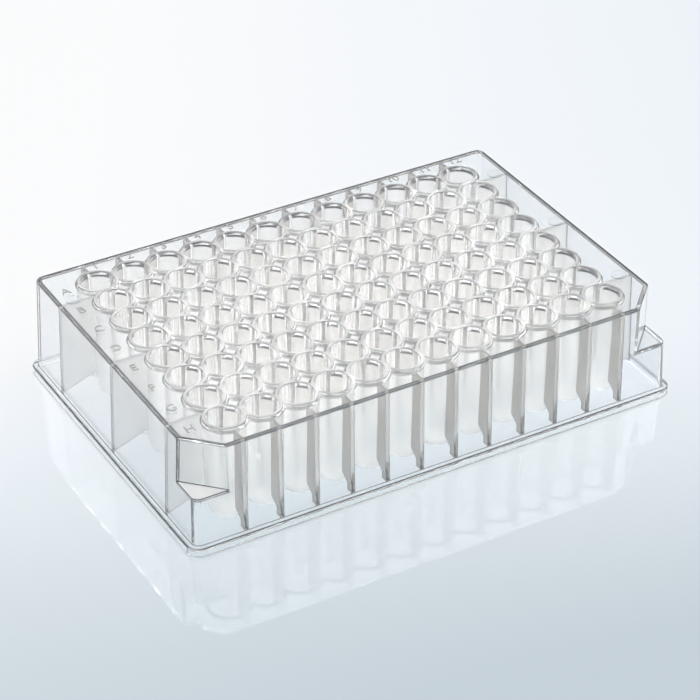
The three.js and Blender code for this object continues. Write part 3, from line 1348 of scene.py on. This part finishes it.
@dataclass
class Studio:
    """Pale floor, soft light and camera."""

    target: tuple[float, float, float] = (-4.26, -7.82, 15.0)
    azimuth: float = -30.239
    elevation: float = 33.912
    roll: float = -0.266
    distance: float = 627.73
    lens: float = 139.07
    # Share of the floor's light that is painted glow for rays that see it, and share of mirror for camera
    # rays.
    floor_glow: float = 0.7
    floor_gloss: float = 0.14
    # Where the painted light falloff on the floor begins and ends, how high it rises, and its lean to the
    # side.
    floor_front: float = -130.0
    floor_back: float = 40.0
    floor_rise: float = 0.88
    floor_tilt: float = -0.0017
    floor_half: float = 4000.0
    floor_top: float = -0.03
    floor_depth: float = 10.0
    sky_way: tuple[float, float, float] = (0.71, 0.27, 0.65)
    sky_dark: tuple[float, float] = (0.25, 0.28)
    sky_light: tuple[float, float] = (0.75, 1.42)
    flag_edge: tuple[float, float] = (0.8, 0.92)
    flag_shade: float = 0.65

    def camera(self) -> bpy.types.Object:
        """Aim the camera at the target from its azimuth and elevation, with its slight roll.

        Returns:
            The camera.
        """
        a = math.radians(self.azimuth)
        e = math.radians(self.elevation)
        r = math.radians(self.roll)
        back = Vector((math.sin(a) * math.cos(e), -math.cos(a) * math.cos(e), math.sin(e)))
        level = Vector((math.cos(a), math.sin(a), 0.0))
        upright = back.cross(level)
        right = level * math.cos(r) - upright * math.sin(r)
        up = level * math.sin(r) + upright * math.cos(r)
        lens = bpy.data.cameras.new("camera")
        lens.lens = self.lens
        lens.sensor_width = 36.0
        lens.clip_start = 0.01
        lens.clip_end = 20.0
        made = bpy.data.objects.new("camera", lens)
        place = Vector(self.target) + back * self.distance
        turn = Matrix((right, up, back)).transposed().to_4x4()
        made.matrix_world = Matrix.Translation(place * MM) @ turn
        bpy.context.scene.collection.objects.link(made)
        bpy.context.scene.camera = made
        return made

    def floor_colour(self, sketch: Sketch) -> bpy.types.NodeSocket:
        """Painted light on the floor: pale blue-grey in front, smoothly whiter to the back and to the left.

        Args:
            sketch: Node tree of the floor's material.

        Returns:
            The colour, from the place on the floor.
        """
        turn = math.radians(self.azimuth)
        place = sketch.node("TexCoord").outputs["Object"]
        away = sketch.dot(place, (-math.sin(turn), math.cos(turn), 0.0))
        aside = sketch.dot(place, (math.cos(turn), math.sin(turn), 0.0))
        rise = sketch.node("MapRange", interpolation_type="SMOOTHSTEP", Value=away)
        rise.inputs["From Min"].default_value = self.floor_front * MM
        rise.inputs["From Max"].default_value = self.floor_back * MM
        rise.inputs["To Max"].default_value = self.floor_rise
        tilt = self.floor_tilt / MM
        height = sketch.math("MULTIPLY_ADD", aside, tilt, rise.outputs["Result"], use_clamp=True)
        ramp = sketch.node("ValToRGB", Fac=height)
        stops = ramp.color_ramp.elements
        stops[0].color = (0.55, 0.63, 0.69, 1.0)
        stops[1].color = (0.985, 0.99, 1.0, 1.0)
        for position, colour in ((0.5, (0.78, 0.85, 0.895, 1.0)), (0.75, (0.88, 0.925, 0.975, 1.0))):
            stops.new(position).color = colour
        return ramp.outputs["Color"]

    def floor(self) -> bpy.types.Object:
        """Lay a wide level floor just below the plate, which gives off part of its colour as a painted
        glow.

        Returns:
            The floor.
        """
        half = self.floor_half
        corners = np.array([[-half, -half], [half, -half], [half, half], [-half, half]])
        made = prism(corners, -self.floor_depth, self.floor_top).as_object("floor")
        made.data.materials.clear()
        material, sketch, output = empty_material("pale_floor")
        colour = self.floor_colour(sketch)
        shader = sketch.node("BsdfPrincipled", Roughness=0.1, Base_Color=colour)
        glow = sketch.node("Emission", Strength=1.05, Color=colour)
        path = sketch.node("LightPath").outputs
        direct = sketch.math("MAXIMUM", path["Is Camera Ray"], path["Is Glossy Ray"])
        seen = sketch.math("MAXIMUM", direct, path["Is Transmission Ray"])
        # For rays that see the floor, most of its light is this painted glow, which the plate's shadow
        # doesn't darken.
        mix = sketch.mix(sketch.math("MULTIPLY", seen, self.floor_glow), shader, glow)
        mirror = sketch.node("BsdfAnisotropic", Roughness=0.03)
        gloss = sketch.math("MULTIPLY", path["Is Camera Ray"], self.floor_gloss)
        polish = sketch.mix(gloss, mix, mirror)
        sketch.link(polish.outputs["Shader"], output.inputs["Surface"])
        material.cycles.emission_sampling = "NONE"
        made.data.materials.append(material)
        return made

    def flag(self, sketch: Sketch, way: bpy.types.NodeSocket) -> bpy.types.NodeSocket:
        """A grey flag behind and above the plate that shows only in its reflections.

        Args:
            sketch: Node tree of the world.
            way: Direction of a light path.

        Returns:
            The world's strength: 1, and less where a reflection meets the flag.
        """
        turn = math.radians(self.azimuth)
        rise = math.radians(self.elevation)
        back = (-math.sin(turn) * math.cos(rise), math.cos(turn) * math.cos(rise), math.sin(rise))
        cover = sketch.node("MapRange", interpolation_type="SMOOTHSTEP", Value=sketch.dot(way, back))
        cover.inputs["From Min"].default_value = self.flag_edge[0]
        cover.inputs["From Max"].default_value = self.flag_edge[1]
        cover.inputs["To Max"].default_value = self.flag_shade
        path = sketch.node("LightPath").outputs
        outer = sketch.math("SUBTRACT", path["Is Glossy Ray"], path["Is Transmission Ray"], use_clamp=True)
        return sketch.math("SUBTRACT", 1.0, sketch.math("MULTIPLY", cover.outputs["Result"], outer))

    def world(self) -> None:
        """Light the studio from all round, brighter from behind and above."""
        world = bpy.data.worlds.new("studio")
        world.use_nodes = True
        world.node_tree.nodes.clear()
        sketch = Sketch(world.node_tree)
        output = sketch.node("OutputWorld")
        light = sketch.node("Background", Strength=1.0)
        way = sketch.node("TexCoord").outputs["Generated"]
        share = sketch.node("MapRange", Value=sketch.dot(way, self.sky_way), From_Min=-1.0, From_Max=1.0)
        ramp = sketch.node("ValToRGB", Fac=share.outputs["Result"])
        for stop, (place, level) in zip(ramp.color_ramp.elements, (self.sky_dark, self.sky_light)):
            stop.position = place
            stop.color = (level, level, level, 1.0)
        sketch.link(ramp.outputs["Color"], light.inputs["Color"])
        sketch.link(self.flag(sketch, way), light.inputs["Strength"])
        sketch.link(light.outputs["Background"], output.inputs["Surface"])
        bpy.context.scene.world = world

    def build(self) -> None:
        """Set the whole studio up."""
        self.camera()
        self.floor()
        self.world()
        bpy.context.scene.view_settings.view_transform = "Standard"


def main() -> None:
    """Build the plate, light it and place the camera."""
    logging.basicConfig(level=logging.INFO, format="%(message)s")
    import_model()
    sizes = PlateSizes.from_frame(PLATE_NODE)
    finishes = [FINISHES[region].material() for region in Region]
    for part in (Moulding(sizes), DeckMarks(sizes)):
        piece = part.build()
        part.dress(piece, finishes)
        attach(piece, PLATE_BODY)
        log.info("%s: %d faces", piece.name, len(piece.data.polygons))
    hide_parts(PLATE_NODE)
    Studio().build()


if __name__ == "__main__":
    main()
